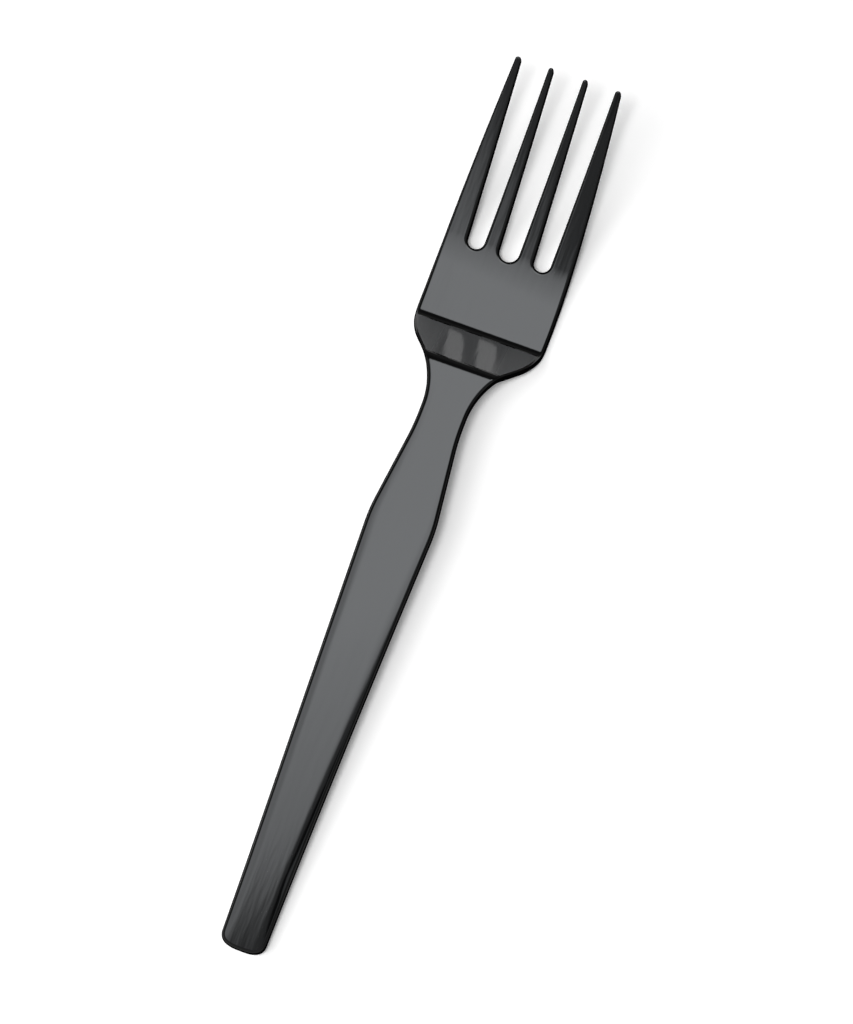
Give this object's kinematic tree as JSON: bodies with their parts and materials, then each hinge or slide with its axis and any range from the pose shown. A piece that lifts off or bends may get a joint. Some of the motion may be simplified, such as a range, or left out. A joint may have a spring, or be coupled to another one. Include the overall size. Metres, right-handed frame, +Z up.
{
  "type": "dinner fork",
  "caption": "Glossy black plastic dinner fork with a tapered handle, a narrow neck stepped down to a flat palm, and long tapering tines.",
  "frame": {"origin": "on the table, under the middle of the fork's length and width", "axes": "+X along the fork from the butt to the tine tips, +Y to the fork's left, +Z up from the table with the fork lying back down"},
  "size_m": [0.178, 0.0264, 0.0172],
  "materials": {
    "black_plastic": "polished injection moulding, mirror-like top face"
  },
  "bodies": {
    "root": {"handle": "black_plastic", "neck": "black_plastic", "ramp": "black_plastic", "head": "black_plastic", "left_outer_tine": "black_plastic", "left_inner_tine": "black_plastic", "right_inner_tine": "black_plastic", "right_outer_tine": "black_plastic"}
  },
  "joints": []
}
